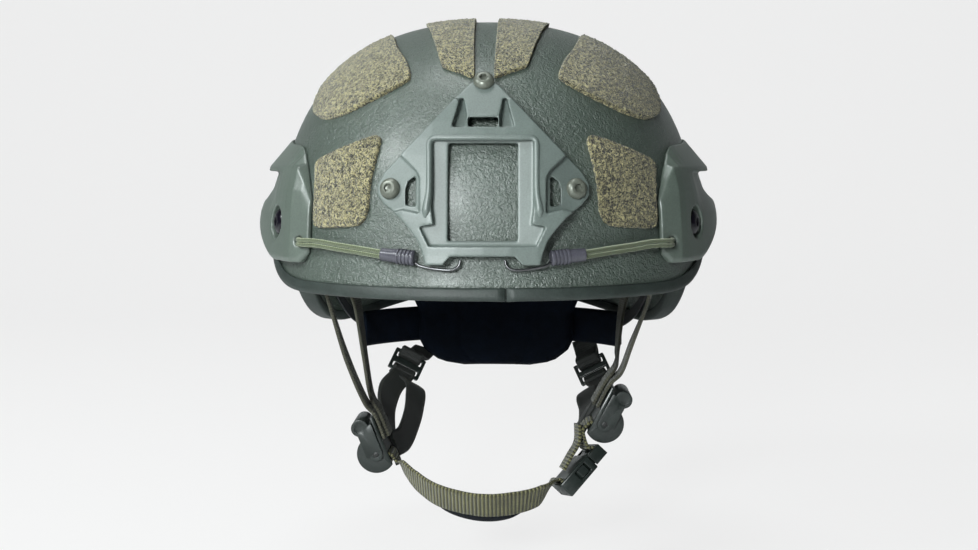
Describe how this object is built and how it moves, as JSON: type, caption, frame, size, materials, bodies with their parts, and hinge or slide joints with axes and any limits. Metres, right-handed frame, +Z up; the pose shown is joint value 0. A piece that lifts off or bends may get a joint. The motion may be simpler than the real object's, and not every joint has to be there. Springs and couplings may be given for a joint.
{
  "type": "combat helmet",
  "caption": "High-cut ballistic helmet with front shroud, slotted side rails, loop panels, padded liner, nape dial and a chin harness with cam adjusters and a side-release buckle.",
  "frame": {"origin": "on the symmetry plane at half the shell's length, level with the lower edge of the front rim", "axes": "+X is the wearer's left, +Y points to the back of the head and +Z up to the crown"},
  "size_m": [0.2506, 0.2854, 0.2736],
  "materials": {
    "shell_paint": "coarse matt paint over moulded laminate",
    "trim_rubber": "satin",
    "loop_pile": "loop pile",
    "satin_polymer": "satin, fine grain",
    "button_screws": "satin",
    "dome_screws": "glossy black",
    "plated_steel": "zinc plated",
    "steel_wire": "drawn wire",
    "hook_tape": "hook tape",
    "painted_tabs": "matt",
    "dial_plastic": "matt",
    "harness_plastic": "glossy moulding",
    "ferrule_plastic": "semi gloss",
    "shock_cord": "braided sleeve",
    "pad_fabric": "knitted cover over foam",
    "nape_fabric": "brushed cover over foam",
    "olive_webbing": "ribbed webbing",
    "dark_webbing": "flat webbing"
  },
  "bodies": {
    "helmet": {"shell": "shell_paint", "edge_trim": "trim_rubber", "loop_crown_left": "loop_pile", "loop_crown_right": "loop_pile", "loop_upper_left": "loop_pile", "loop_upper_right": "loop_pile", "loop_lower_left": "loop_pile", "loop_lower_right": "loop_pile", "loop_rear": "loop_pile", "nvg_shroud": "satin_polymer", "shroud_screws": "button_screws", "rail_left": "satin_polymer", "rail_right": "satin_polymer", "rail_screws": "dome_screws", "flange_nuts": "plated_steel", "bungee_left": "shock_cord", "bungee_right": "shock_cord", "pad_crown": "pad_fabric", "pad_front": "pad_fabric", "pad_rear": "pad_fabric", "pad_temple_left": "pad_fabric", "pad_temple_right": "pad_fabric", "pad_side_left": "pad_fabric", "pad_side_right": "pad_fabric", "hook_squares": "hook_tape", "anchor_tabs": "painted_tabs", "nape_band": "nape_fabric", "nape_pad": "nape_fabric", "dial_housing": "dial_plastic", "arm_left": "dial_plastic", "arm_right": "dial_plastic", "front_strap_left": "olive_webbing", "front_strap_right": "olive_webbing", "rear_strap_left": "olive_webbing", "rear_strap_right": "olive_webbing", "nape_strap_left": "dark_webbing", "nape_strap_right": "dark_webbing", "slider_left": "harness_plastic", "slider_right": "harness_plastic", "adjuster_left": "harness_plastic", "adjuster_right": "harness_plastic", "lever_pins": "plated_steel"},
    "dial": {"dial_knob": "dial_plastic", "dial_pinion": "dial_plastic"},
    "rack_left": {"rack_left": "dial_plastic"},
    "rack_right": {"rack_right": "dial_plastic"},
    "hook_left": {"hook_left": "steel_wire", "ferrule_left": "ferrule_plastic"},
    "hook_right": {"hook_right": "steel_wire", "ferrule_right": "ferrule_plastic"},
    "lever_left": {"lever_left": "harness_plastic"},
    "lever_right": {"lever_right": "harness_plastic"},
    "chin_loop": {"chin_strap": "olive_webbing", "chin_cup": "nape_fabric", "buckle_plug": "harness_plastic", "buckle_strap": "olive_webbing"},
    "buckle_socket": {"buckle_socket": "harness_plastic"},
    "latch_front": {"latch_front": "harness_plastic"},
    "latch_back": {"latch_back": "harness_plastic"}
  },
  "joints": [
    {"name": "dial_spin", "type": "hinge", "parent": "helmet", "child": "dial", "pos_m": [0, 0.1203, -0.041], "axis": [0, -1, 0], "range_deg": [0, 150]},
    {"name": "rack_left_slide", "type": "slide", "parent": "helmet", "child": "rack_left", "axis": [-1, 0, 0], "range_m": [0, 0.0134], "deforming": ["arm_left"]},
    {"name": "rack_right_slide", "type": "slide", "parent": "helmet", "child": "rack_right", "axis": [1, 0, 0], "range_m": [0, 0.0134], "deforming": ["arm_right"]},
    {"name": "hook_left_pull", "type": "slide", "parent": "helmet", "child": "hook_left", "axis": [-0.9543, -0.2846, -0.0915], "range_m": [0, 0.0025], "stiffness_N_per_m": 400, "deforming": ["bungee_left"]},
    {"name": "hook_right_pull", "type": "slide", "parent": "helmet", "child": "hook_right", "axis": [0.9543, -0.2846, -0.0915], "range_m": [0, 0.0025], "stiffness_N_per_m": 400, "deforming": ["bungee_right"]},
    {"name": "lever_left_lift", "type": "hinge", "parent": "helmet", "child": "lever_left", "pos_m": [0.06419, -0.01, -0.0816], "axis": [0, 1, 0], "range_deg": [0, 75]},
    {"name": "lever_right_lift", "type": "hinge", "parent": "helmet", "child": "lever_right", "pos_m": [-0.06218, -0.01, -0.09905], "axis": [0, -1, 0], "range_deg": [0, 75]},
    {"name": "chin_swing", "type": "hinge", "parent": "helmet", "child": "chin_loop", "pos_m": [-0.05521, -0.01, -0.10001], "axis": [0.9872, 0, 0.1597], "range_deg": [-20, 15], "deforming": ["chin_strap", "buckle_strap"]},
    {"name": "buckle_pull", "type": "slide", "parent": "chin_loop", "child": "buckle_socket", "axis": [-0.653, -0.2813, -0.7032], "range_m": [0, 0.02], "deforming": ["chin_strap", "latch_front", "latch_back"]},
    {"name": "latch_front_press", "type": "hinge", "parent": "chin_loop", "child": "latch_front", "pos_m": [0.05775, -0.02381, -0.10011], "axis": [0.7328, 0, -0.6805], "range_deg": [0, 5], "stiffness_Nm_per_rad": 0.05},
    {"name": "latch_back_press", "type": "hinge", "parent": "chin_loop", "child": "latch_back", "pos_m": [0.05427, -0.00634, -0.10386], "axis": [-0.7328, 0, 0.6805], "range_deg": [0, 5], "stiffness_Nm_per_rad": 0.05}
  ],
  "couplings": [
    {"joint": "rack_left_slide", "follows": "dial_spin", "m_per_rad": 0.005093},
    {"joint": "rack_right_slide", "follows": "dial_spin", "m_per_rad": 0.005093},
    {"joint": "latch_back_press", "follows": "latch_front_press", "ratio": 1}
  ]
}
